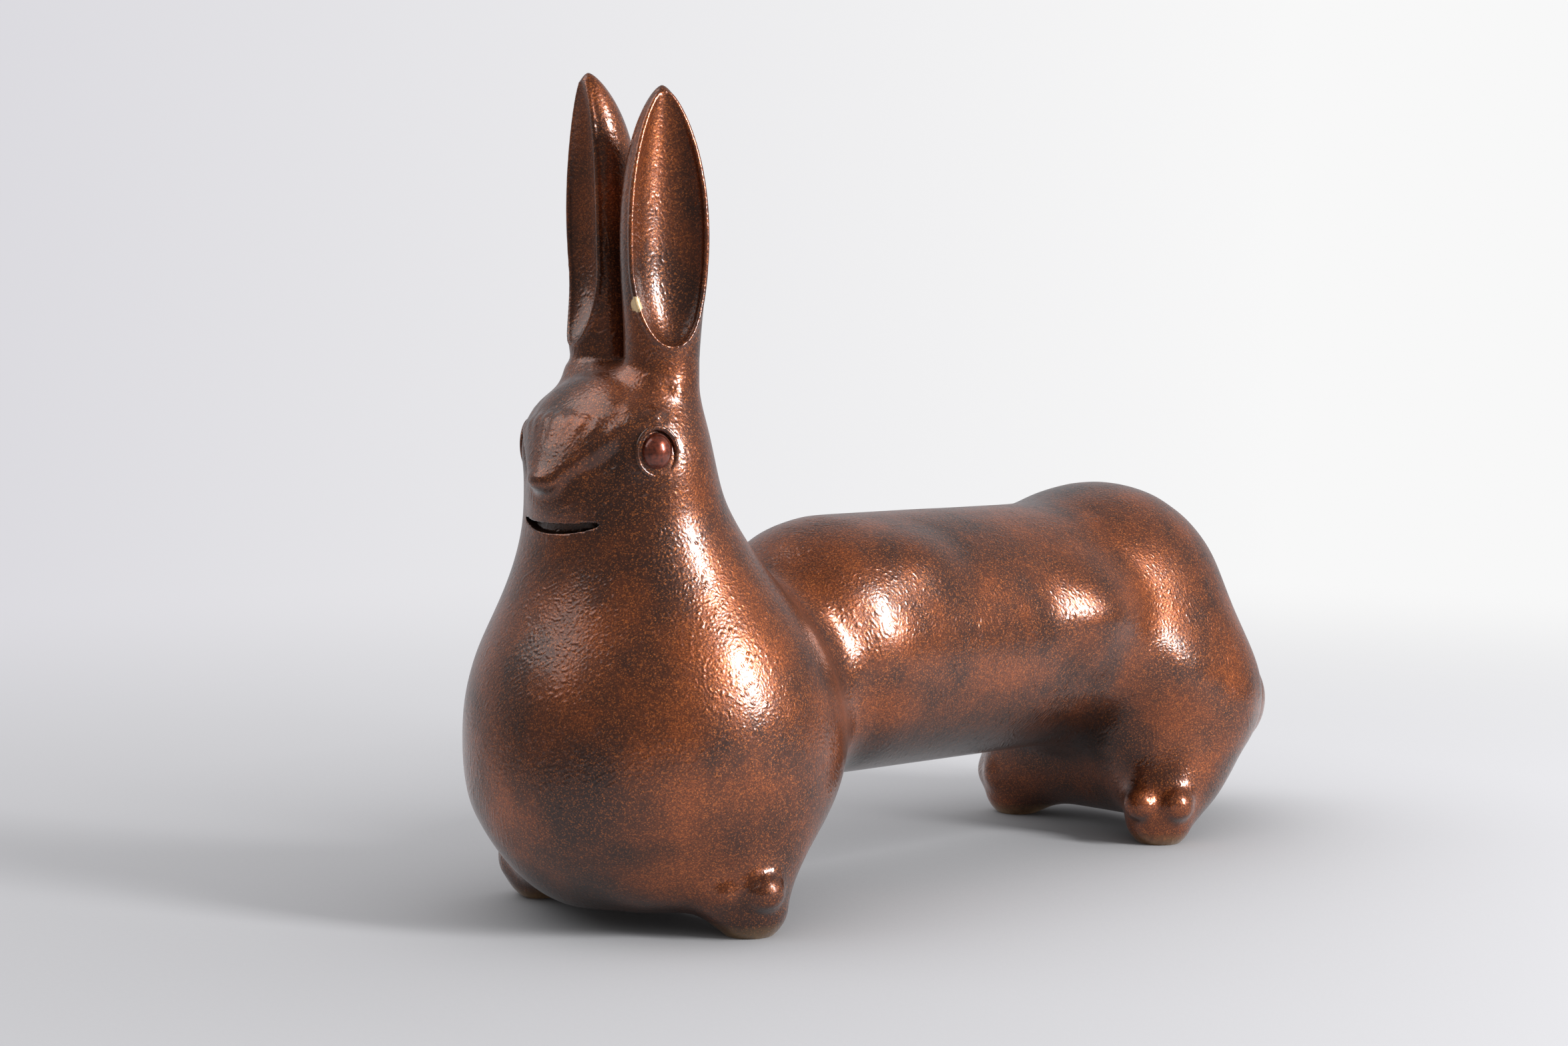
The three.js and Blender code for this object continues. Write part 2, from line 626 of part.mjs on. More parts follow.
// Ears: a turned leaf, bowed outward, with a scooped face and a tenon below
function earRadius(height, length) {
  const tapering = Math.min((length - height) / EAR_TAPER_LENGTH, 1);
  const swelling = THREE.MathUtils.smoothstep(height, 0, length - EAR_TAPER_LENGTH);
  const fullness = THREE.MathUtils.lerp(EAR_ROOT_RADIUS, EAR_WIDTH / 2, swelling);
  return fullness * Math.sin(Math.PI / 2 * tapering ** EAR_TAPER_POWER);
}

function earLeaf(length) {
  const rows = 16;
  const profile = [new THREE.Vector2(0, 0)];
  for (let row = 0; row < rows; row++) {
    const height = length * Math.sin(Math.PI / 2 * row / rows);
    profile.push(new THREE.Vector2(earRadius(height, length), height));
  }
  profile.push(new THREE.Vector2(0, length));
  return new THREE.LatheGeometry(profile, 20).rotateX(Math.PI / 2).translate(0, 0, FIT);
}

function earScoop(length) {
  const half = (length + SCOOP_OVERRUN - SCOOP_START) / 2;
  return new THREE.SphereGeometry(1, 22, 16)
    .rotateX(Math.PI / 2)
    .scale(SCOOP_WIDTH / 2, SCOOP_DEPTH / 2, half)
    .translate(0, -SCOOP_OFFSET, SCOOP_START + half);
}

function earSolid(side) {
  const length = side > 0 ? EAR_LENGTH : EAR_LENGTH + RIGHT_EAR_EXTRA;
  const place = new THREE.Matrix4().makeRotationZ(turn(side)).setPosition(side * ear[0], ear[1], earJoint);
  const bowed = geometry => {
    const position = geometry.applyMatrix4(place).getAttribute('position');
    for (let n = 0; n < position.count; n++) {
      const share = THREE.MathUtils.clamp((position.getZ(n) - earJoint) / length, 0, 1);
      const bow = Math.sin(Math.PI * share);
      position.setX(n, position.getX(n) + side * EAR_BOW * bow);
      position.setY(n, position.getY(n) - EAR_BOW_FORWARD * bow);
    }
    return solid(geometry);
  };
  return bowed(earLeaf(length))
    .subtract(bowed(earScoop(length)))
    .add(tenon(side, 0))
    .subtract(earWire(side, FIT));
}

// Finishes
const lacquer = new THREE.MeshStandardMaterial({ color: '#5b3524', roughness: 0.35, metalness: 0.55 });
const eyeLacquer = new THREE.MeshStandardMaterial({ color: '#5a2d20', roughness: 0.25, metalness: 0.4 });
const iron = new THREE.MeshStandardMaterial({ color: '#4b4540', roughness: 0.7, metalness: 0.9 });
const hempPlaster = new THREE.MeshStandardMaterial({ color: '#d6ccb8', roughness: 0.95, metalness: 0 });

// Assembly
const body = new THREE.Group();
function addNode(name, manifold, material) {
  const mesh = new THREE.Mesh(geometryOf(manifold), material);
  mesh.name = name;
  body.add(mesh);
}

addNode('front_casting', frontCasting(), lacquer);
addNode('rear_casting', rearCasting(), lacquer);
for (const [name, side] of [['left', 1], ['right', -1]]) {
  addNode(`ear_${name}`, earSolid(side), lacquer);
  addNode(`ear_wire_${name}`, earWire(side, 0), iron);
  addNode(`eye_${name}`, egg([side * eye[0], eye[1], eye[2]], ballOf(EYE_RADIUS), 18), eyeLacquer);
}
addNode('spine_bar', spineBar(0), iron);
addNode('neck_bar', neckBar(0), iron);
addNode('front_leg_hoop', legHoop(forePaws, 0), iron);
addNode('rear_leg_hoop', legHoop(hindPaws, 0), iron);
addNode('front_wad', wad(chest, chestRadii, chestWall), hempPlaster);
addNode('rear_wad', wad(haunch, haunchRadii, rumpWall), hempPlaster);

// The model's origin is the middle of its footprint, on the floor.
const middle = new THREE.Box3().setFromObject(body).getCenter(new THREE.Vector3());
body.position.set(-middle.x, -middle.y, 0);
const figurine = new THREE.Group();
figurine.add(body);
export default figurine;
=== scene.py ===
# %% [markdown]
# # A lacquered plaster rabbit
# The ornament is a hollow plaster casting in two halves, with ears and bead eyes set in, brushed over with
# a copper-brown lacquer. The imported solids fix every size. This lesson works over copies of them the way a
# modeller works over a rough cast: melt the facets, press on the small forms, cut the halves apart, paint.

# %% Load the frame
import math

import bpy
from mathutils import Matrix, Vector


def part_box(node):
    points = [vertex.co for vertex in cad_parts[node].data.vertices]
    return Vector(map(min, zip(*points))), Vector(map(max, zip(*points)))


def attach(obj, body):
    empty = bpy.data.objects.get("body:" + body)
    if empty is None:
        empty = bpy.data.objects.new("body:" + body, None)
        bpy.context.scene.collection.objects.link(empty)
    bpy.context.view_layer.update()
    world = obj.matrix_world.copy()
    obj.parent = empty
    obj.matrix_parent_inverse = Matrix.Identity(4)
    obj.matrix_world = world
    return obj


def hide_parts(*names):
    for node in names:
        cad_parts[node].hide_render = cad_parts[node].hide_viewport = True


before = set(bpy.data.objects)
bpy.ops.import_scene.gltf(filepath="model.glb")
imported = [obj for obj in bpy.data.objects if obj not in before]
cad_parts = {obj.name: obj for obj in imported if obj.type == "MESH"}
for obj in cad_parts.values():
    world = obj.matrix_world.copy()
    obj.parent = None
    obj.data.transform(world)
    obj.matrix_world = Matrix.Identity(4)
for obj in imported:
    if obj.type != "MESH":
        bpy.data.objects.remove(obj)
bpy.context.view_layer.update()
MM = 0.001

# %% [markdown]
# The camera comes first, because every later choice is judged from the photograph's own viewpoint. It
# stands about a metre off at the rabbit's front left, a little above its back, with a short telephoto lens.

# %% Camera
CAMERA_PLACE = (0.702, -0.7366, 0.202)
CAMERA_TURN = 46.0       # degrees round from straight ahead of the face
CAMERA_PITCH = 4.9       # degrees below the horizon
CAMERA_LENS = 69.85      # millimetres on a 36 mm wide frame

bpy.ops.object.camera_add(
    location=CAMERA_PLACE,
    rotation=(math.radians(90 - CAMERA_PITCH), 0, math.radians(CAMERA_TURN)),
)
camera = bpy.context.object
camera.name = "photo_camera"
camera.data.lens = CAMERA_LENS
camera.data.sensor_width = 36
camera.data.clip_end = 50
bpy.context.scene.camera = camera
print("camera", tuple(round(v, 3) for v in camera.location))

# %% [markdown]
# A few small helpers stand for what the hand does all the time: pick objects, add a modifier and apply it,
# join lumps, and place a rounded primitive. All places and sizes below are in millimetres.

# %% Helpers for picking and joining
def only(*objects):
    """Select these objects alone, the first one active."""
    bpy.ops.object.select_all(action="DESELECT")
    for item in objects:
        item.select_set(True)
    bpy.context.view_layer.objects.active = objects[0]


def modify(piece, kind, **settings):
    """Add a modifier with its settings and apply it."""
    only(piece)
    modifier = piece.modifiers.new(kind.title(), kind)
    for setting, value in settings.items():
        setattr(modifier, setting, value)
    bpy.ops.object.modifier_apply(modifier=modifier.name)


def joined(name, *lumps):
    """One object holding all the lumps."""
    only(*lumps)
    bpy.ops.object.join()
    lumps[0].name = name
    return lumps[0]


def duplicate(piece, name):
    """A second object with its own copy of the mesh."""
    copy = bpy.data.objects.new(name, piece.data.copy())
    bpy.context.scene.collection.objects.link(copy)
    return copy


def cad_copy(name, *nodes):
    """A merged copy of CAD nodes, free to be reshaped."""
    copies = [duplicate(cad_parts[node], name) for node in nodes]
    for copy in copies:
        copy.data.materials.clear()
    whole = joined(name, *copies)
    bpy.ops.object.mode_set(mode="EDIT")
    bpy.ops.mesh.select_all(action="SELECT")
    bpy.ops.mesh.remove_doubles(threshold=0.001 * MM)
    bpy.ops.object.mode_set(mode="OBJECT")
    return whole


def outermost(piece):
    """Keep the largest loose part of a mesh, which is its outer skin."""
    only(piece)
    bpy.ops.object.mode_set(mode="EDIT")
    bpy.ops.mesh.select_all(action="SELECT")
    bpy.ops.mesh.separate(type="LOOSE")
    bpy.ops.object.mode_set(mode="OBJECT")
    parts = sorted(bpy.context.selected_objects, key=lambda part: len(part.data.vertices))
    for scrap in parts[:-1]:
        bpy.data.objects.remove(scrap)
    return parts[-1]


def trimmed(piece, place, direction):
    """Cut away what lies beyond a plane and close the cut."""
    only(piece)
    bpy.ops.object.mode_set(mode="EDIT")
    bpy.ops.mesh.select_all(action="SELECT")
    bpy.ops.mesh.bisect(
        plane_co=Vector(place) * MM, plane_no=direction, use_fill=True, clear_outer=True
    )
    bpy.ops.object.mode_set(mode="OBJECT")
    return piece


def pulled(piece, place, offset, reach):
    """Draw the surface out at a place, fading softly within a reach."""
    only(piece)
    bpy.ops.object.mode_set(mode="EDIT")
    bpy.ops.mesh.select_mode(type="VERT")
    bpy.ops.mesh.select_all(action="DESELECT")
    bpy.ops.object.mode_set(mode="OBJECT")
    spot = Vector(place) * MM
    nearest = min(piece.data.vertices, key=lambda vertex: (vertex.co - spot).length)
    nearest.select = True
    bpy.ops.object.mode_set(mode="EDIT")
    bpy.ops.transform.translate(
        value=Vector(offset) * MM, use_proportional_edit=True, proportional_size=reach * MM
    )
    bpy.ops.object.mode_set(mode="OBJECT")

# %% Helpers for lumps
def settled():
    """Leave the new primitive's place and size in its mesh."""
    bpy.ops.object.transform_apply(location=True, rotation=True, scale=True)
    return bpy.context.object


def facing(direction):
    """The turn that points a primitive's own +Z along a direction."""
    return Vector(direction).to_track_quat("Z", "Y").to_euler()


def ball(place, radii, axis=(0, 0, 1)):
    """A rounded lump with its third radius along the axis."""
    bpy.ops.object.select_all(action="DESELECT")
    bpy.ops.mesh.primitive_uv_sphere_add(
        segments=48, ring_count=32, radius=MM,
        location=Vector(place) * MM, rotation=facing(axis), scale=radii,
    )
    return settled()


def roll(start, start_radius, end, end_radius):
    """A tapering roll of clay with rounded ends."""
    along = Vector(end) - Vector(start)
    bpy.ops.object.select_all(action="DESELECT")
    bpy.ops.mesh.primitive_cone_add(
        vertices=48, radius1=start_radius * MM, radius2=end_radius * MM, depth=along.length * MM,
        location=(Vector(start) + along / 2) * MM, rotation=facing(along),
    )
    shaft = settled()
    ends = [ball(start, (start_radius,) * 3), ball(end, (end_radius,) * 3)]
    return joined("roll", shaft, *ends)


def ring(place, axis, major, minor, stretch=1.0):
    """A round bead of clay laid in a ring, stretched upright."""
    bpy.ops.object.select_all(action="DESELECT")
    bpy.ops.mesh.primitive_torus_add(
        major_segments=96, minor_segments=20, major_radius=major * MM, minor_radius=minor * MM,
        location=Vector(place) * MM, rotation=facing(axis),
    )
    bpy.context.object.scale = (1, stretch, 1)
    return settled()


def lofted(name, hoops):
    """A closed skin over hoops, each a place, two half widths and a turn in degrees."""
    loops = []
    for place, half_width, half_depth, turn in hoops:
        bpy.ops.object.select_all(action="DESELECT")
        bpy.ops.mesh.primitive_circle_add(
            vertices=144, radius=MM, location=Vector(place) * MM, rotation=(0, 0, math.radians(turn))
        )
        bpy.context.object.scale = (half_width, half_depth, 1)
        loops.append(settled())
    whole = joined(name, *loops)
    bpy.ops.object.mode_set(mode="EDIT")
    bpy.ops.mesh.select_all(action="SELECT")
    bpy.ops.mesh.bridge_edge_loops()
    bpy.ops.mesh.select_all(action="SELECT")
    bpy.ops.mesh.fill_holes(sides=0)
    bpy.ops.mesh.normals_make_consistent(inside=False)
    bpy.ops.object.mode_set(mode="OBJECT")
    return whole

# %% [markdown]
# The rough cast is a copy of the two castings. A voxel remesh closes the joint, only the outer skin is kept,
# and a long smoothing melts the facets of the solids. Balls fill the eye sockets and the slit of the mouth
# first, because eyes and mouth are made afresh further on. Soft pulls then swell the flanks, the thighs, the
# haunches and the underside of the chest, on both sides alike.

# %% Rough cast
CAST_GRAIN = 1.0         # voxel of the first remesh
CAST_MELT = 44           # rounds of smoothing that melt facets about 7 mm wide
MUZZLE = (0, -144.7, 132)
MUZZLE_RADII = (13.5, 13, 12)
EYE_TURN = 25            # degrees that the eyes look ahead of straight sideways
PLUG_RADIUS = 6.6
PLUG_SET = 2.2           # middle of the plug inside the middle of the solid eye
SWELLS = (               # place on the left side, pull, and how far the pull reaches
    ((30, -26, 107), (2.4, 0, 1.2), 24),
    ((42.5, 50, 85), (6.0, -0.5, 0.5), 28),
    ((46, 81, 61), (4.4, 0, 0), 26),
    ((0, -148, 9), (0, -2, -2), 40),
    ((30, -135, 12), (3, -3, -3.5), 26),
)

sides = (1, -1)


def eye_axis(word, side):
    """Middle of a solid eye and the direction it looks in."""
    low, high = (Vector(corner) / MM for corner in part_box(f"eye_{word}"))
    turn = math.radians(EYE_TURN)
    return (low + high) / 2, Vector((side * math.cos(turn), -math.sin(turn), 0))


def mirrored(place, side):
    """The same place on the left, or on the right for side -1."""
    return (side * place[0], place[1], place[2])


plugs = []
for side, word in zip(sides, ("left", "right")):
    middle, out = eye_axis(word, side)
    plugs.append(ball(middle - out * PLUG_SET, (PLUG_RADIUS,) * 3))
cast = cad_copy("cast", "front_casting", "rear_casting")
cast = joined("cast", cast, ball(MUZZLE, MUZZLE_RADII), *plugs)
modify(cast, "REMESH", mode="VOXEL", voxel_size=CAST_GRAIN * MM)
cast = outermost(cast)
modify(cast, "SMOOTH", factor=0.5, iterations=CAST_MELT)
for place, offset, reach in SWELLS:
    for side in sides:
        pulled(cast, mirrored(place, side), mirrored(offset, side), reach)
print("rough cast", len(cast.data.vertices), "vertices")

# %% [markdown]
# The face is built from planes, as a carver would block it out: a rounded shield for the forehead, a fan of
# rolls that spreads from the nose to the brows as the top of the snout, and a blunt muzzle under the nose.
# Each is a lump pressed onto the cast. Two long cuts beside the fan set the snout off from the cheeks.

# %% Face
NOSE = (4.4, -157.0, 138.6)       # left corner of the nose, where the outer roll of the fan starts
NOSE_RADIUS = 3.2
NOSE_TIP = (0, -157.4, 137.2)
NOSE_TIP_RADII = (7.2, 5.0, 4.2)
BROW = (18.8, -146.0, 150.6)
BROW_RADIUS = 4.2
BROW_END = (25.6, -137, 155.4)
BROW_END_RADIUS = 3.8
FAN_STEPS = 4                     # rolls on each side of the middle line, from the nose to the brows
FAN_NOSE_BULGE = (0, -0.6, 0)     # how far the middle of the fan stands out at the nose
FAN_BROW_BULGE = (0, -4.5, 3)     # and at the brows
SHIELD = (0, -143.4, 152.7)       # middle of the forehead, under its surface
SHIELD_RADII = (22, 18.5, 8.8)    # across, along the slope, and outward
SHIELD_SLOPE = 33                 # degrees that the forehead leans back
MUZZLE_BLOCK = (0, -150.4, 130.8)
MUZZLE_SIZE = (17, 12, 15)
MUZZLE_ROUND = 4.6
CHEEK_CUT_TOP = (24.8, -165.2, 146)
CHEEK_CUT_FOOT = (25.4, -169.2, 132)
CHEEK_CUT_RADIUS = 18

bpy.ops.object.select_all(action="DESELECT")
bpy.ops.mesh.primitive_cube_add(size=MM, location=Vector(MUZZLE_BLOCK) * MM, scale=MUZZLE_SIZE)
muzzle_block = settled()
modify(muzzle_block, "BEVEL", width=MUZZLE_ROUND * MM, segments=6)
lean = math.radians(SHIELD_SLOPE)
shield = ball(SHIELD, SHIELD_RADII, (0, -math.cos(lean), math.sin(lean)))
face = [shield, muzzle_block, ball(NOSE_TIP, NOSE_TIP_RADII)]
for step in range(-FAN_STEPS, FAN_STEPS + 1):
    share = step / FAN_STEPS
    bulge = 1 - share * share
    nose = Vector(mirrored(NOSE, share)) + Vector(FAN_NOSE_BULGE) * bulge
    brow = Vector(mirrored(BROW, share)) + Vector(FAN_BROW_BULGE) * bulge
    face.append(roll(nose, NOSE_RADIUS, brow, BROW_RADIUS))
cheek_cuts = []
for side in sides:
    brow, brow_end = (mirrored(p, side) for p in (BROW, BROW_END))
    face.append(roll(brow, BROW_RADIUS, brow_end, BROW_END_RADIUS))
    top, foot = (mirrored(p, side) for p in (CHEEK_CUT_TOP, CHEEK_CUT_FOOT))
    cheek_cuts.append(roll(top, CHEEK_CUT_RADIUS, foot, CHEEK_CUT_RADIUS))
for cut in cheek_cuts:
    modify(cut, "REMESH", mode="VOXEL", voxel_size=CAST_GRAIN * MM)
    modify(cast, "BOOLEAN", operation="DIFFERENCE", object=cut, solver="EXACT")
    bpy.data.objects.remove(cut)
print("face lumps", len(face))

# %% [markdown]
# The paws are balls with two knuckles each, turned outward, and those of the right paws are tucked in. They
# run on below the floor for now, so that a clean cut can leave the flat soles.

# %% Paws
PAW_PLACES = ((44.5, -116.2, 9.5), (-44.5, -123.2, 9.5), (37, 87.8, 9.5), (-37, 96.8, 9.5))
PAW_RADIUS = 12
TOE_RADII = (6.4, 6.4, 6.0)
TOE_SPACING = 12
TOE_FORWARD = (9.6, 4.0, 9.6, 7.0)     # one for each paw
TOE_RISE = 5.5
TOE_TURN = 38            # degrees outward from straight ahead

paws = []
for place, forward in zip(PAW_PLACES, TOE_FORWARD):
    side = math.copysign(1, place[0])
    turn = math.radians(TOE_TURN)
    ahead = Vector((side * math.sin(turn), -math.cos(turn), 0))
    across = Vector((ahead.y, -ahead.x, 0))
    paws.append(ball(place, (PAW_RADIUS,) * 3))
    for step in sides:
        toe = Vector(place) + ahead * forward + across * step * TOE_SPACING / 2
        paws.append(ball(toe + Vector((0, 0, TOE_RISE)), TOE_RADII))
print("paw lumps", len(paws))

# %% [markdown]
# The ears are the thinnest forms, so they are lofted afresh over the same curve as the solids: a leaf that
# swells from its root, bows outward and tapers to the tip, and a scoop that takes out its hollow side. The
# left hollow is turned further out than the right one. A thin lip rounds each rim.

# %% Ears
EAR_ROOTS = ((14, -123.7), (-12.6, -122.2))
EAR_ROOT_RADIUS = 11.5
EAR_FOOT = 150           # height where the root starts, inside the head
EAR_JOINT = 172
EAR_LENGTHS = (83, 87.8)
EAR_WIDTHS = (26.6, 26.6)
EAR_TAPER_LENGTH = 46
EAR_TAPER_POWER = 0.66   # below 1 the tip is fuller
EAR_BOWS = (3, 2.2)
EAR_HOOKS = (1.5, 6)      # how far the tip curls towards the hollow side
EAR_HOOK_POWER = 5
EAR_BOW_FORWARD = 1.5
EAR_TURNS = (66, -18)    # degrees from straight ahead towards the rabbit's left
SCOOP_START = 4.5        # above the joint
SCOOP_ROUND = 24         # height of the scoop's rounded lower end
SCOOP_SHARE = 1.03       # of the leaf's own half width
SCOOP_AHEAD = 0.95       # of the leaf's own half width
SCOOP_SPOON = 3.2        # how much shallower the hollow is at its ends than in the middle
EAR_LIP = 0.9            # radius of the rounded lip along the rim
EAR_ROWS = 110
EAR_KNOTS = ((-5.6, -132.6, 167.6), (18.6, -131.0, 166.2), (22.6, -126.4, 162.8))
EAR_KNOT_RADIUS = 4.2    # small swellings where the ears were pressed on


def ear_radius(height, length, width):
    """Half the width of the leaf at a height above the joint."""
    tapering = min((length - height) / EAR_TAPER_LENGTH, 1)
    swelling = min(max(height / (length - EAR_TAPER_LENGTH), 0), 1)
    swelling = swelling * swelling * (3 - 2 * swelling)
    fullness = EAR_ROOT_RADIUS + (width / 2 - EAR_ROOT_RADIUS) * swelling
    return fullness * math.sin(math.pi / 2 * max(tapering, 0) ** EAR_TAPER_POWER)


def ear_middle(height, length, n, ahead):
    """Middle of the leaf at a height, bowed outward and forward and hooked at the tip."""
    share = min(max(height / length, 0), 1)
    bow = math.sin(math.pi * share)
    x = EAR_ROOTS[n][0] + sides[n] * EAR_BOWS[n] * bow
    straight = Vector((x, EAR_ROOTS[n][1] - EAR_BOW_FORWARD * bow, EAR_JOINT + height))
    return straight + ahead * EAR_HOOKS[n] * share ** EAR_HOOK_POWER


ears = []
for n in range(len(sides)):
    length, width, turn = EAR_LENGTHS[n], EAR_WIDTHS[n], EAR_TURNS[n]
    ahead = Vector((math.sin(math.radians(turn)), -math.cos(math.radians(turn)), 0))
    across = Vector((-ahead.y, ahead.x, 0))
    leaf_hoops, scoop_hoops, lip_hoops = [], [], ([], [])
    for row in range(EAR_ROWS):
        rise = math.sin(math.pi / 2 * row / (EAR_ROWS - 0.6))
        height = EAR_FOOT - EAR_JOINT + (length + EAR_JOINT - EAR_FOOT) * rise
        radius = ear_radius(height, length, width)
        middle = ear_middle(height, length, n, ahead)
        leaf_hoops.append((middle, radius, radius, 0))
    for row in range(1, EAR_ROWS):
        rise = 1 - math.cos(math.pi / 2 * row / (EAR_ROWS - 1))
        height = SCOOP_START + (length + 1 - SCOOP_START) * rise
        lower = min((height - SCOOP_START) / SCOOP_ROUND, 1)
        radius = max(ear_radius(height, length, width), 0.8)
        middle = ear_middle(height, length, n, ahead)
        share = SCOOP_SHARE * radius * math.sqrt(1 - (1 - lower) ** 2)
        shallow = SCOOP_SPOON * (1 - math.sin(math.pi * min(height / length, 1)))
        reach = SCOOP_AHEAD * radius + shallow
        scoop_hoops.append((middle + ahead * reach, share, share, turn))
        rim = (radius ** 2 + reach ** 2 - share ** 2) / (2 * radius * reach)
        if rim < 1 and radius > 3 * EAR_LIP:
            angle = math.acos(rim) + EAR_LIP / radius
            for side, hoops in zip(sides, lip_hoops):
                outward = ahead * math.cos(angle) + across * side * math.sin(angle)
                hoops.append((middle + outward * (radius - EAR_LIP / 2), EAR_LIP, EAR_LIP, 0))
    leaf = lofted("ear", leaf_hoops)
    scoop = lofted("scoop", scoop_hoops)
    modify(leaf, "BOOLEAN", operation="DIFFERENCE", object=scoop, solver="EXACT")
    bpy.data.objects.remove(scoop)
    ears.append(joined("ear", leaf, *(lofted("lip", hoops) for hoops in lip_hoops)))
knots = [ball(place, (EAR_KNOT_RADIUS,) * 3) for place in EAR_KNOTS]
print("ears", [len(leaf.data.vertices) for leaf in ears])

# %% [markdown]
# Now the lumps, the cast and copies of the ears become one skin: a second remesh melts them together, and a
# short smoothing softens the creases, as a coat of slip would. The mouth is a thin lens pressed in under the
# muzzle, so that its opening tapers to both corners.

# %% Whole skin
SKIN_GRAIN = 1.0
SKIN_SOFTENING = 5                # rounds of smoothing before the mouth is cut
MOUTH_SOFTENING = 4               # and after
MOUTH = (0, -143, 127.4)
MOUTH_RADII = (20.5, 16.4, 3.1)   # across, along, and half the opening
MOUTH_AXIS = (0, -0.38, 1)
GUM = (0, -135, 125)              # what closes the mouth inside
GUM_RADII = (24, 18.4, 20)

ear_copies = [duplicate(leaf, "ear_copy") for leaf in ears]
skin = joined("skin", cast, *face, *paws, *knots, *ear_copies)
modify(skin, "REMESH", mode="VOXEL", voxel_size=SKIN_GRAIN * MM)
skin = outermost(skin)
modify(skin, "SMOOTH", factor=0.5, iterations=SKIN_SOFTENING)
mouth, gum = ball(MOUTH, MOUTH_RADII, MOUTH_AXIS), ball(GUM, GUM_RADII)
modify(mouth, "BOOLEAN", operation="DIFFERENCE", object=gum, solver="EXACT")
modify(skin, "BOOLEAN", operation="DIFFERENCE", object=mouth, solver="EXACT")
for tool in (mouth, gum):
    bpy.data.objects.remove(tool)
skin = outermost(skin)
modify(skin, "SMOOTH", factor=0.5, iterations=MOUTH_SOFTENING)
only(skin)
bpy.ops.object.shade_smooth()
print("skin", len(skin.data.vertices), "vertices")

# %% [markdown]
# The skin is cut where the real castings meet: across the barrel, and under the ears, whose finer lofts take
# over above the cut. Each cut piece borrows its surface normals from the whole skin, so no seam shows.

# %% Pieces
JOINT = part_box("rear_casting")[0][1] / MM
EAR_CUT = 173.5
EAR_GRAIN = 0.4
EAR_SOFTENING = 5


def borrow_normals(piece, source):
    """Shade a cut piece as the uncut skin is shaded."""
    modify(
        piece, "DATA_TRANSFER", object=source, use_loop_data=True,
        data_types_loops={"CUSTOM_NORMAL"}, loop_mapping="POLYINTERP_NEAREST",
    )


def finish_piece(piece, *nodes):
    """Let a piece ride on the body and stand for its CAD nodes."""
    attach(piece, "root")
    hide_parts(*nodes)
    print(piece.name, len(piece.data.polygons), "faces")


front = trimmed(duplicate(skin, "front_shell"), (0, JOINT, 0), (0, 1, 0))
rear = trimmed(duplicate(skin, "rear_shell"), (0, JOINT, 0), (0, -1, 0))
trimmed(front, (0, 0, EAR_CUT), (0, 0, 1))
for shell in (front, rear):
    trimmed(shell, (0, 0, 0), (0, 0, -1))
    borrow_normals(shell, skin)
finish_piece(front, "front_casting")
finish_piece(rear, "rear_casting")
for leaf, word in zip(ears, ("left", "right")):
    modify(leaf, "REMESH", mode="VOXEL", voxel_size=EAR_GRAIN * MM)
    modify(leaf, "SMOOTH", factor=0.5, iterations=EAR_SOFTENING)
    only(leaf)
    bpy.ops.object.shade_smooth()
    whole = duplicate(leaf, "ear_whole")
    trimmed(leaf, (0, 0, EAR_CUT), (0, 0, -1))
    borrow_normals(leaf, whole)
    bpy.data.objects.remove(whole)
    leaf.name = f"ear_leaf_{word}"
    finish_piece(leaf, f"ear_{word}")
bpy.data.objects.remove(skin)

# %% [markdown]
# Each eye is an upright bead, set into the head and framed by a thin raised lid.

# %% Eyes
EYE_RADII = (5.3, 6.1, 6.0)       # across, upright, and out of the head
EYE_OUT = 0.4                     # middle of the bead in front of the middle of the solid
LID_RADIUS = 6.1
LID_THICKNESS = 1.4
LID_STRETCH = 1.19
LID_OUT = 3.2                     # lid's ring in front of the middle of the solid

eyes, lids = [], []
for side, word in zip(sides, ("left", "right")):
    middle, out = eye_axis(word, side)
    eye = ball(middle + out * EYE_OUT, EYE_RADII, out)
    eye.name = f"eye_bead_{word}"
    only(eye)
    bpy.ops.object.shade_smooth()
    finish_piece(eye, f"eye_{word}")
    eyes.append(eye)
    lid = ring(middle + out * LID_OUT, out, LID_RADIUS, LID_THICKNESS / 2, LID_STRETCH)
    lid.name = f"lid_{word}"
    only(lid)
    bpy.ops.object.shade_smooth()
    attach(lid, "root")
    lids.append(lid)

# %% [markdown]
# Paint comes next. Colours are written as screen hex values and turned to linear light by one function, and
# another small function adds a node with its settings and links. Sizes in patterns are real millimetres.

# %% Helpers for paint
def linear(code):
    """A screen hex colour as linear light."""
    parts = [int(code[n:n + 2], 16) / 255 for n in (1, 3, 5)]
    return tuple(p / 12.92 if p <= 0.04045 else ((p + 0.055) / 1.055) ** 2.4 for p in parts) + (1,)


def add(tree, kind, settings, sockets):
    """Add a node, set it up, and fill its sockets with values or with links."""
    node = tree.nodes.new("ShaderNode" + kind)
    for name, value in settings.items():
        setattr(node, name, value)
    for name, value in sockets.items():
        if isinstance(value, bpy.types.NodeSocket):
            tree.links.new(value, node.inputs[name])
        else:
            node.inputs[name].default_value = value
    return node


def blank(name):
    """A new material with an empty node tree, and its tree."""
    material = bpy.data.materials.new(name)
    material.use_nodes = True
    material.node_tree.nodes.clear()
    return material, material.node_tree


def per_metre(size):
    """A texture's scale for features of a size in millimetres."""
    return 1 / (size * MM)


COLOUR = {"data_type": "RGBA"}
MIX_A, MIX_B, MIX_RESULT = 6, 7, 2     # a colour mix's own sockets among all those of its node

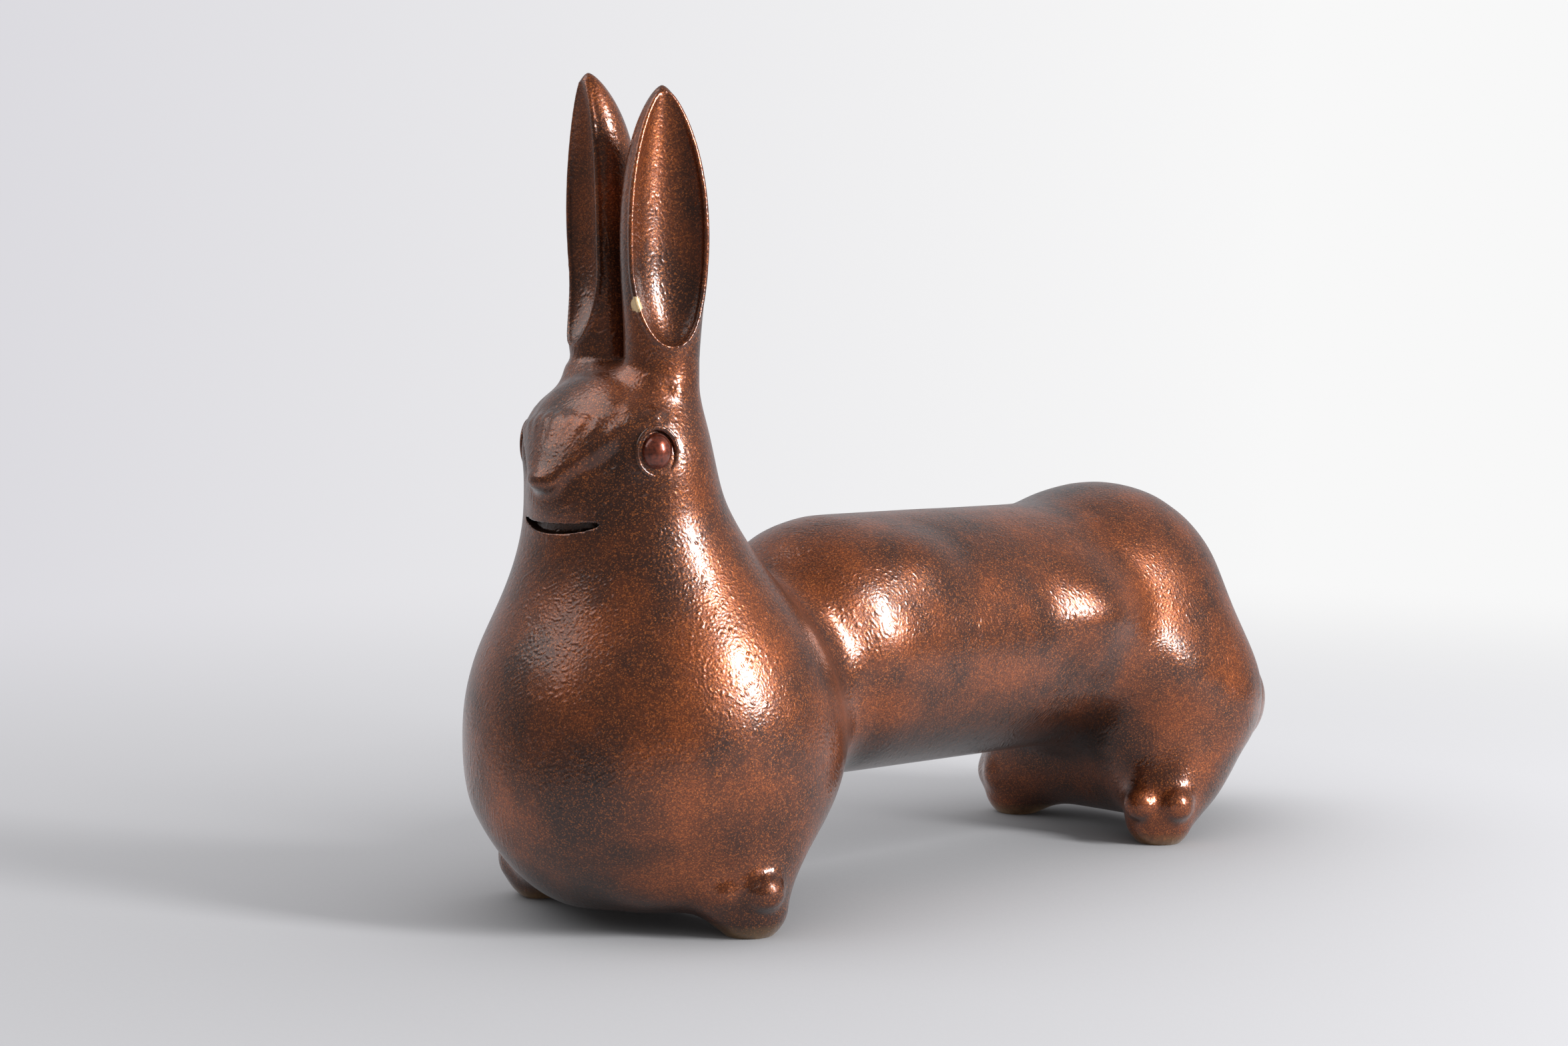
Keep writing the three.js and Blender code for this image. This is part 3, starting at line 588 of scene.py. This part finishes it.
# %% [markdown]
# The lacquer is a brown varnish full of copper flakes, brushed over the sealed plaster. The eye sees three
# layers in it: a mottled brown ground, flakes that glow copper where a light is mirrored widely, and a clear
# gloss on top that mirrors lights sharply in white, broken by crinkled brush lines. Flakes are really about
# 0.1 mm wide and brush lines 0.3 mm. Both are drawn coarser here, so that they show in the picture. First
# comes the colour: patches of thick and thin varnish, dark pools, and dull and bright flakes.

# %% Lacquer colour
STAIN_SIZE = 44          # darker places where the varnish pooled
FLAKE_SIZE = 0.34


def flaked_colour(tree, place, mottle):
    """Mottled brown with dark pools and copper flakes."""
    mottled = add(tree, "MapRange", {}, {"Value": mottle, "From Min": 0.36, "From Max": 0.66})
    ground = add(tree, "Mix", COLOUR, {
        0: mottled.outputs["Result"], MIX_A: linear("#4f2b1e"), MIX_B: linear("#a05228"),
    })
    stain = add(tree, "TexNoise", {}, {
        "Vector": place, "Scale": per_metre(STAIN_SIZE), "Detail": 3, "Roughness": 0.55,
    })
    stained = add(tree, "MapRange", {"interpolation_type": "SMOOTHSTEP"}, {
        "Value": stain.outputs["Fac"], "From Min": 0.5, "From Max": 0.68, "To Max": 0.75,
    })
    pooled = add(tree, "Mix", COLOUR, {
        0: stained.outputs["Result"], MIX_A: ground.outputs[MIX_RESULT], MIX_B: linear("#39211a"),
    })
    flake = add(tree, "TexVoronoi", {}, {"Vector": place, "Scale": per_metre(FLAKE_SIZE)})
    dull = add(tree, "MapRange", {}, {
        "Value": flake.outputs["Color"], "From Min": 0.2, "From Max": 0.8, "To Min": 0.62, "To Max": 0.0,
    })
    flaked = add(tree, "Mix", COLOUR, {
        0: dull.outputs["Result"], MIX_A: pooled.outputs[MIX_RESULT], MIX_B: linear("#2a1a14"),
    })
    bright = add(tree, "MapRange", {}, {
        "Value": flake.outputs["Color"], "From Min": 0.66, "From Max": 0.95, "To Max": 0.5,
    })
    glinting = add(tree, "Mix", COLOUR, {
        0: bright.outputs["Result"], MIX_A: flaked.outputs[MIX_RESULT], MIX_B: linear("#e08340"),
    })
    return glinting.outputs[MIX_RESULT]

# %% [markdown]
# The colour changes in places. Painted shade darkens the hollows and what faces down, where shadow falls, the
# paws are rubbed pale at the floor, and one chip beside the left ear's hollow shows bare plaster.

# %% Painted shade, wear and a chip
HOLLOW_SHADE_REACH = 30        # hollows this wide get painted shade
WEAR_HEIGHT = 5          # rubbed band at the foot of the paws
WEAR_PATCH = 3.5
CHIP = (17.4, -136.6, 189.4)
CHIP_RADII = (2.2, 2.2, 2.6)


def painted_shade_and_worn(tree, place, colour):
    """A colour with painted shade in hollows and underneath, and with rubbed feet."""
    # Painted shade: the colour darkens towards #24140e in the hollows, where less light reaches.
    hollow = add(tree, "AmbientOcclusion", {"only_local": True}, {"Distance": HOLLOW_SHADE_REACH * MM})
    hollow_shade = add(tree, "MapRange", {}, {
        "Value": hollow.outputs["AO"], "From Min": 0.9, "From Max": 0.4, "To Max": 0.85,
    })
    hollow_shaded = add(tree, "Mix", COLOUR, {0: hollow_shade.outputs["Result"], MIX_A: colour, MIX_B: linear("#24140e")})
    # Painted shade: what faces down is darkened towards #170e0a, as it lies in shadow.
    outward = add(tree, "NewGeometry", {}, {}).outputs["Normal"]
    rising = add(tree, "SeparateXYZ", {}, {"Vector": outward}).outputs["Z"]
    underside_shade = add(tree, "MapRange", {"interpolation_type": "SMOOTHSTEP"}, {
        "Value": rising, "From Min": -0.35, "From Max": -0.9, "To Max": 0.8,
    })
    under = add(tree, "Mix", COLOUR, {
        0: underside_shade.outputs["Result"], MIX_A: hollow_shaded.outputs[MIX_RESULT], MIX_B: linear("#170e0a"),
    })
    height = add(tree, "SeparateXYZ", {}, {"Vector": place}).outputs["Z"]
    rubbed = add(tree, "MapRange", {}, {
        "Value": height, "From Min": 0.5 * MM, "From Max": WEAR_HEIGHT * MM, "To Min": 1.0, "To Max": 0.0,
    })
    patchy = add(tree, "TexNoise", {}, {"Vector": place, "Scale": per_metre(WEAR_PATCH), "Detail": 3})
    worn = add(tree, "Math", {"operation": "MULTIPLY"}, {
        0: rubbed.outputs["Result"], 1: patchy.outputs["Fac"],
    })
    soled = add(tree, "Mix", COLOUR, {
        0: worn.outputs["Value"], MIX_A: under.outputs[MIX_RESULT], MIX_B: linear("#b08a5c"),
    })
    return soled.outputs[MIX_RESULT]


def chip_share(tree, place):
    """One inside the chip and zero outside its ragged edge."""
    from_chip = add(tree, "Mapping", {"vector_type": "TEXTURE"}, {
        "Vector": place, "Location": Vector(CHIP) * MM, "Scale": Vector(CHIP_RADII) * MM,
    })
    ragged = add(tree, "TexNoise", {}, {"Vector": from_chip.outputs["Vector"], "Scale": 1.6, "Detail": 2})
    reach = add(tree, "VectorMath", {"operation": "LENGTH"}, {0: from_chip.outputs["Vector"]})
    torn = add(tree, "Math", {"operation": "ADD"}, {0: reach.outputs["Value"], 1: ragged.outputs["Fac"]})
    bare = add(tree, "MapRange", {}, {
        "Value": torn.outputs["Value"], "From Min": 1.3, "From Max": 1.45, "To Min": 1.0, "To Max": 0.0,
    })
    return bare.outputs["Result"]

# %% [markdown]
# The brush leaves crinkled lines in the gloss. They run in three directions, each in areas brushed in one go,
# and bend a little. The flakes are felt through the gloss as a fine grain.

# %% Brush lines
STROKE_WIDTH = 1.4
STROKE_LENGTH = 5
STROKE_TURNS = ((0.5, 0.2, 0.4), (-0.6, 0.9, -0.3), (1.2, -0.4, 1.1))
STROKE_BEND = 24         # distance from one bend to the next
STROKE_WARP = 5          # how far strokes bend
STROKE_PATCH = 22        # area brushed in one direction
STROKE_DEPTH = 0.21
GRAIN_SIZE = 0.7
GRAIN_DEPTH = 0.05


def brushed_normal(tree, place):
    """The surface's direction, with brush lines and grain."""
    bend = add(tree, "TexNoise", {}, {"Vector": place, "Scale": per_metre(STROKE_BEND), "Detail": 1})
    bent = add(tree, "VectorMath", {"operation": "MULTIPLY_ADD"}, {
        0: bend.outputs["Color"], 1: (STROKE_WARP * MM,) * 3, 2: place,
    })
    strokes = []
    for turns in STROKE_TURNS:
        along = add(tree, "Mapping", {"vector_type": "TEXTURE"}, {
            "Vector": bent.outputs["Vector"], "Rotation": turns,
            "Scale": (STROKE_WIDTH * MM, STROKE_WIDTH * MM, STROKE_LENGTH * MM),
        })
        hairs = add(tree, "TexNoise", {"noise_type": "RIDGED_MULTIFRACTAL"}, {
            "Vector": along.outputs["Vector"], "Scale": 1, "Detail": 1.5, "Roughness": 0.6, "Gain": 1.2,
        })
        strokes.append(hairs.outputs["Fac"])
    brushed = strokes[0]
    for n, stroke in enumerate(strokes[1:]):
        patch = add(tree, "TexNoise", {"noise_dimensions": "4D"}, {
            "Vector": place, "W": n + 1.5, "Scale": per_metre(STROKE_PATCH), "Detail": 1,
        })
        share = add(tree, "MapRange", {}, {"Value": patch.outputs["Fac"], "From Min": 0.47, "From Max": 0.55})
        brushed = add(tree, "Mix", {}, {0: share.outputs["Result"], 2: brushed, 3: stroke}).outputs[0]
    lines = add(tree, "Bump", {}, {"Strength": 1.0, "Distance": STROKE_DEPTH * MM, "Height": brushed})
    grain = add(tree, "TexNoise", {}, {"Vector": place, "Scale": per_metre(GRAIN_SIZE), "Detail": 1})
    grained = add(tree, "Bump", {}, {
        "Strength": 1.0, "Distance": GRAIN_DEPTH * MM, "Height": grain.outputs["Fac"],
        "Normal": lines.outputs["Normal"],
    })
    return grained.outputs["Normal"]

# %% [markdown]
# Now the layers come together. Two thirds of the light that the varnish returns is mirrored by the flakes, in
# copper. The clear gloss over it is the coat. The bare plaster of the chip mirrors nothing.

# %% Copper flake lacquer
MOTTLE_SIZE = 26         # patches of thicker and thinner varnish


def lacquer(name):
    """Brushed copper flake lacquer with painted shade in hollows and underneath, rubbed feet and one chip."""
    material, tree = blank(name)
    place = add(tree, "TexCoord", {}, {}).outputs["Object"]
    mottle = add(tree, "TexNoise", {}, {
        "Vector": place, "Scale": per_metre(MOTTLE_SIZE), "Detail": 4, "Roughness": 0.6,
    }).outputs["Fac"]
    colour = painted_shade_and_worn(tree, place, flaked_colour(tree, place, mottle))
    bare = chip_share(tree, place)
    chipped = add(tree, "Mix", COLOUR, {0: bare, MIX_A: colour, MIX_B: linear("#e9c795")})
    metallic = add(tree, "MapRange", {}, {"Value": bare, "To Min": 0.64, "To Max": 0.0})
    roughness = add(tree, "MapRange", {}, {
        "Value": mottle, "From Min": 0.3, "From Max": 0.7, "To Min": 0.43, "To Max": 0.34,
    })
    normal = brushed_normal(tree, place)
    surface = add(tree, "BsdfPrincipled", {}, {
        "Base Color": chipped.outputs[MIX_RESULT], "Metallic": metallic.outputs["Result"],
        "Roughness": roughness.outputs["Result"], "Normal": normal,
        "Coat Weight": 0.85, "Coat Roughness": 0.19, "Coat IOR": 1.5, "Coat Normal": normal,
    })
    add(tree, "OutputMaterial", {}, {"Surface": surface.outputs["BSDF"]})
    return material


# %% [markdown]
# The eye beads were dipped rather than brushed: the same varnish, redder and almost without flakes, under a
# smooth clear gloss that mirrors the lamps as small sharp points.

# %% Dipped bead lacquer
BEAD_GRAIN = 0.9


def bead_lacquer(name):
    """Smooth red-brown lacquer with a faint grain."""
    material, tree = blank(name)
    place = add(tree, "TexCoord", {}, {}).outputs["Object"]
    grain = add(tree, "TexNoise", {}, {"Vector": place, "Scale": per_metre(BEAD_GRAIN), "Detail": 3})
    grained = add(tree, "MapRange", {}, {"Value": grain.outputs["Fac"], "From Min": 0.3, "From Max": 0.7})
    colour = add(tree, "Mix", COLOUR, {
        0: grained.outputs["Result"], MIX_A: linear("#4a1d14"), MIX_B: linear("#8a4029"),
    })
    bump = add(tree, "Bump", {}, {"Strength": 0.3, "Distance": 0.05 * MM, "Height": grain.outputs["Fac"]})
    surface = add(tree, "BsdfPrincipled", {}, {
        "Base Color": colour.outputs[MIX_RESULT], "Metallic": 0.7, "Roughness": 0.38,
        "Normal": bump.outputs["Normal"], "Coat Weight": 1.0, "Coat Roughness": 0.12, "Coat IOR": 1.5,
    })
    add(tree, "OutputMaterial", {}, {"Surface": surface.outputs["BSDF"]})
    return material


# %% [markdown]
# Inside the hollow are black iron bars and wires, dull with mill scale and a little rust, and wads of hemp in
# plaster, cream and fibrous. They can't be seen from outside, but a cut-away view would show them.

# %% Black iron and hemp plaster
SCALE_PATCH = 4
HEMP_WIDTH = 0.5
HEMP_LENGTH = 12


def black_iron(name):
    """Bare iron with blue-black mill scale and specks of rust."""
    material, tree = blank(name)
    place = add(tree, "TexCoord", {}, {}).outputs["Object"]
    patches = add(tree, "TexNoise", {}, {"Vector": place, "Scale": per_metre(SCALE_PATCH), "Detail": 5})
    rusty = add(tree, "MapRange", {}, {"Value": patches.outputs["Fac"], "From Min": 0.56, "From Max": 0.7})
    colour = add(tree, "Mix", COLOUR, {
        0: rusty.outputs["Result"], MIX_A: linear("#4b4540"), MIX_B: linear("#6b4630"),
    })
    bump = add(tree, "Bump", {}, {"Strength": 0.5, "Distance": 0.15 * MM, "Height": patches.outputs["Fac"]})
    surface = add(tree, "BsdfPrincipled", {}, {
        "Base Color": colour.outputs[MIX_RESULT], "Metallic": 0.8, "Roughness": 0.62,
        "Normal": bump.outputs["Normal"],
    })
    add(tree, "OutputMaterial", {}, {"Surface": surface.outputs["BSDF"]})
    return material


def hemp_plaster(name):
    """Cream plaster with crossing hemp fibres."""
    material, tree = blank(name)
    place = add(tree, "TexCoord", {}, {}).outputs["Object"]
    along = add(tree, "Mapping", {"vector_type": "TEXTURE"}, {
        "Vector": place, "Rotation": (0.6, 0.3, 0.8),
        "Scale": (HEMP_WIDTH * MM, HEMP_WIDTH * MM, HEMP_LENGTH * MM),
    })
    fibres = add(tree, "TexNoise", {}, {"Vector": along.outputs["Vector"], "Scale": 1, "Detail": 3})
    fibrous = add(tree, "MapRange", {}, {"Value": fibres.outputs["Fac"], "From Min": 0.55, "From Max": 0.68})
    colour = add(tree, "Mix", COLOUR, {
        0: fibrous.outputs["Result"], MIX_A: linear("#d6ccb8"), MIX_B: linear("#b79f74"),
    })
    bump = add(tree, "Bump", {}, {"Strength": 0.6, "Distance": 0.4 * MM, "Height": fibres.outputs["Fac"]})
    surface = add(tree, "BsdfPrincipled", {}, {
        "Base Color": colour.outputs[MIX_RESULT], "Roughness": 0.9, "Normal": bump.outputs["Normal"],
    })
    add(tree, "OutputMaterial", {}, {"Surface": surface.outputs["BSDF"]})
    return material


# %% Paint the pieces
IRON_NODES = ("spine_bar", "neck_bar", "front_leg_hoop", "rear_leg_hoop", "ear_wire_left", "ear_wire_right")
HEMP_NODES = ("front_wad", "rear_wad")


def paint(piece, material):
    """Give a piece one material all over."""
    piece.data.materials.clear()
    piece.data.materials.append(material)


copper_lacquer = lacquer("brushed_copper_flake_lacquer")
for piece in (front, rear, *ears, *lids):
    paint(piece, copper_lacquer)
dipped = bead_lacquer("dipped_bead_lacquer")
for piece in eyes:
    paint(piece, dipped)
iron, hemp = black_iron("black_iron_mill_scale"), hemp_plaster("hemp_plaster_wad")
for node in IRON_NODES:
    paint(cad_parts[node], iron)
for node in HEMP_NODES:
    paint(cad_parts[node], hemp)
print("materials", [material.name for material in (copper_lacquer, dipped, iron, hemp)])

# %% [markdown]
# The stage is a pale paper floor that fades out behind the rabbit, so that it runs into the background with
# no horizon. The paper takes the soft shadows. Painted light, a glow of the paper's own, lifts them as the
# white walls of a studio would, more behind the rabbit than in front, and fades close under the rabbit into a
# painted contact shadow. The paper is also painted a little lighter towards the picture's right.

# %% Floor
FLOOR_FADE_START = 0.2   # metres from the rabbit
FLOOR_FADE_END = 0.95
# Painted light: the paper glows by its own emission, standing in for the light that the pale room throws.
SHADE_LIFT = (0.33, 0.50)   # light that the pale room throws into the shadows, in front and behind
SHADE_REACH = 0.3           # how near the rabbit stops that light, in metres
SHADE_FALL = 1.5            # how fast that light fades close to the rabbit
PAPER_TOOTH = 1.6           # grain of the paper, in millimetres
PICTURE_RIGHT = (0.695, 0.719, 0)

bpy.ops.object.select_all(action="DESELECT")
bpy.ops.mesh.primitive_plane_add(size=6)
floor = bpy.context.object
floor.name = "floor"
paper, tree = blank("pale_paper")
place = add(tree, "TexCoord", {}, {}).outputs["Object"]
distance = add(tree, "VectorMath", {"operation": "LENGTH"}, {0: place})
fade = add(tree, "MapRange", {"interpolation_type": "SMOOTHSTEP"}, {
    "Value": distance.outputs["Value"], "From Min": FLOOR_FADE_START, "From Max": FLOOR_FADE_END,
})
fibre = add(tree, "TexNoise", {}, {"Vector": place, "Scale": per_metre(PAPER_TOOTH), "Detail": 3})
tooth = add(tree, "Mix", COLOUR, {
    0: fibre.outputs["Fac"], MIX_A: linear("#878789"), MIX_B: linear("#8c8c8e"),
})
# Painted light: the paper is painted a little lighter towards the picture's right, where more light falls.
along = add(tree, "VectorMath", {"operation": "DOT_PRODUCT"}, {0: place, 1: PICTURE_RIGHT})
right = add(tree, "MapRange", {}, {"Value": along.outputs["Value"], "From Min": -0.3, "From Max": 0.35})
paper_lighter_to_right = add(tree, "Mix", COLOUR, {
    0: right.outputs["Result"], MIX_A: tooth.outputs[MIX_RESULT], MIX_B: linear("#8e8e90"),
})
sheet = add(tree, "BsdfDiffuse", {}, {"Color": paper_lighter_to_right.outputs[MIX_RESULT]})
ahead = add(tree, "SeparateXYZ", {}, {"Vector": place}).outputs["Y"]
lift = add(tree, "MapRange", {}, {
    "Value": ahead, "From Min": -0.25, "From Max": 0.3, "To Min": SHADE_LIFT[0], "To Max": SHADE_LIFT[1],
})
# Painted shade: the glow fades close under the rabbit, which paints its contact shadow.
open_sky = add(tree, "AmbientOcclusion", {}, {"Distance": SHADE_REACH}).outputs["AO"]
opened = add(tree, "Math", {"operation": "POWER"}, {0: open_sky, 1: SHADE_FALL})
lifted = add(tree, "Math", {"operation": "MULTIPLY"}, {0: lift.outputs["Result"], 1: opened.outputs["Value"]})
glow = add(tree, "Emission", {}, {"Color": linear("#fbfbff"), "Strength": lifted.outputs["Value"]})
lit = add(tree, "AddShader", {}, {0: sheet.outputs["BSDF"], 1: glow.outputs["Emission"]})
clear = add(tree, "BsdfTransparent", {}, {})
mixed = add(tree, "MixShader", {}, {
    0: fade.outputs["Result"], 1: lit.outputs["Shader"], 2: clear.outputs["BSDF"],
})
add(tree, "OutputMaterial", {}, {"Surface": mixed.outputs["Shader"]})
paint(floor, paper)
print("floor", floor.name)

# %% [markdown]
# Two soft boxes light the rabbit: a strong narrow one at its left side, whose long shadow falls to the
# picture's left, and a weaker wide one in front at its right. The room gives the rest, bright on the side of
# the backdrop and dimmer behind the camera. What the camera sees directly is the pale backdrop itself.

# %% Lamps
LAMP_AIM = (0, -0.03, 0.10)


def soft_box(name, direction, distance, width, height, power):
    """An upright lamp that faces the rabbit."""
    aim = Vector(LAMP_AIM)
    toward = Vector(direction).normalized()
    bpy.ops.object.light_add(
        type="AREA", location=aim + toward * distance, rotation=toward.to_track_quat("Z", "Y").to_euler()
    )
    lamp = bpy.context.object
    lamp.name = name
    lamp.data.shape = "RECTANGLE"
    lamp.data.size = width
    lamp.data.size_y = height
    lamp.data.energy = power
    print(name, tuple(round(v, 2) for v in lamp.location), "power", power)


soft_box("key_box", (0.862, 0.216, 0.43), distance=1.3, width=0.24, height=0.66, power=30)
soft_box("fill_box", (-0.45, -0.55, 0.70), distance=1.5, width=1.2, height=1.2, power=8)

# %% Room and background
ROOM_TURN = (-0.72, 0.69, 0.05)        # towards the backdrop

world = bpy.data.worlds.new("studio_room")
bpy.context.scene.world = world
world.use_nodes = True
tree = world.node_tree
tree.nodes.clear()
direction = add(tree, "TexCoord", {}, {}).outputs["Generated"]
across = add(tree, "VectorMath", {"operation": "DOT_PRODUCT"}, {0: direction, 1: PICTURE_RIGHT})
side = add(tree, "MapRange", {}, {"Value": across.outputs["Value"], "From Min": -0.26, "From Max": 0.16})
backdrop = add(tree, "Mix", COLOUR, {
    0: side.outputs["Result"], MIX_A: linear("#dbdadf"), MIX_B: linear("#f8f8f8"),
})
depth = add(tree, "VectorMath", {"operation": "DOT_PRODUCT"}, {0: direction, 1: ROOM_TURN})
behind = add(tree, "MapRange", {}, {"Value": depth.outputs["Value"], "From Min": -0.15, "From Max": 0.85})
room = add(tree, "Mix", COLOUR, {
    0: behind.outputs["Result"], MIX_A: linear("#787573"), MIX_B: linear("#aeaeb1"),
})
path = add(tree, "LightPath", {}, {})
seen = add(tree, "Mix", COLOUR, {
    0: path.outputs["Is Camera Ray"], MIX_A: room.outputs[MIX_RESULT], MIX_B: backdrop.outputs[MIX_RESULT],
})
light = add(tree, "Background", {}, {"Color": seen.outputs[MIX_RESULT], "Strength": 1.0})
add(tree, "OutputWorld", {}, {"Surface": light.outputs["Background"]})
bpy.context.scene.view_settings.view_transform = "Standard"
print("world", world.name)
